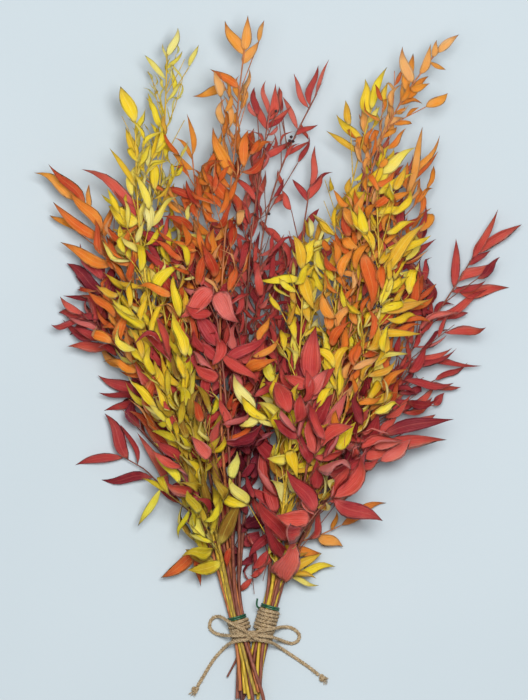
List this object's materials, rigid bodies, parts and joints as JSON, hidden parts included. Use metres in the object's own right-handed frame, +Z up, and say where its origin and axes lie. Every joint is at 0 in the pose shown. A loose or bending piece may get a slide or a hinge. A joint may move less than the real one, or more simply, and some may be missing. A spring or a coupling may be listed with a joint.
{
  "type": "tied bunch of dried ruscus stems",
  "caption": "Tied bunch of dyed dried ruscus stems with long leaves, lying flat: two half bunches held by green ties and twine wraps and joined by a twine bow.",
  "frame": {"origin": "middle of the footprint of the bunch without its cords, at the surface that it lies on", "axes": "+Y along the stems from their cut ends to their tips, +X to the right as seen from above with the tips up, +Z up"},
  "size_m": [0.45, 0.6332, 0.1266],
  "materials": {
    "red": "dusty coral red dyed dried leaf and bark, matt",
    "dark_red": "dark maroon dyed dried leaf and bark, matt",
    "orange": "orange dyed dried leaf and bark, matt",
    "yellow": "yellow dyed dried leaf and bark, matt",
    "olive": "olive yellow dyed dried leaf and bark, matt",
    "twine": "tan jute twine, rough",
    "tie": "dark green plastic coated tie wire"
  },
  "bodies": {
    "root": {"dark_red_low_stem": "dark_red", "green_tie_left": "tie", "green_tie_right": "tie", "olive_left_stem": "olive", "orange_far_left_stem": "orange", "orange_left_inner_stem": "orange", "orange_right_outer_stem": "orange", "orange_right_stem": "orange", "orange_tall_stem": "orange", "red_big_left_stem": "red", "red_big_right_stem": "red", "red_far_left_stem": "red", "red_far_right_stem": "red", "red_inner_right_stem": "red", "red_left_inner_stem": "red", "red_low_right_stem": "red", "red_mid_right_stem": "red", "red_right_mid_stem": "red", "red_right_stem": "red", "red_tall_inner_stem": "red", "red_tall_right_stem": "red", "tail_knot_left": "twine", "tail_knot_right": "twine", "twine_binding": "twine", "twine_loop_left": "twine", "twine_loop_right": "twine", "twine_tail_left": "twine", "twine_tail_right": "twine", "twine_wrap_left": "twine", "twine_wrap_right": "twine", "yellow_centre_stem": "yellow", "yellow_left_stem": "yellow", "yellow_right_outer_stem": "yellow", "yellow_right_stem": "yellow", "yellow_tall_stem": "yellow"}
  },
  "joints": []
}
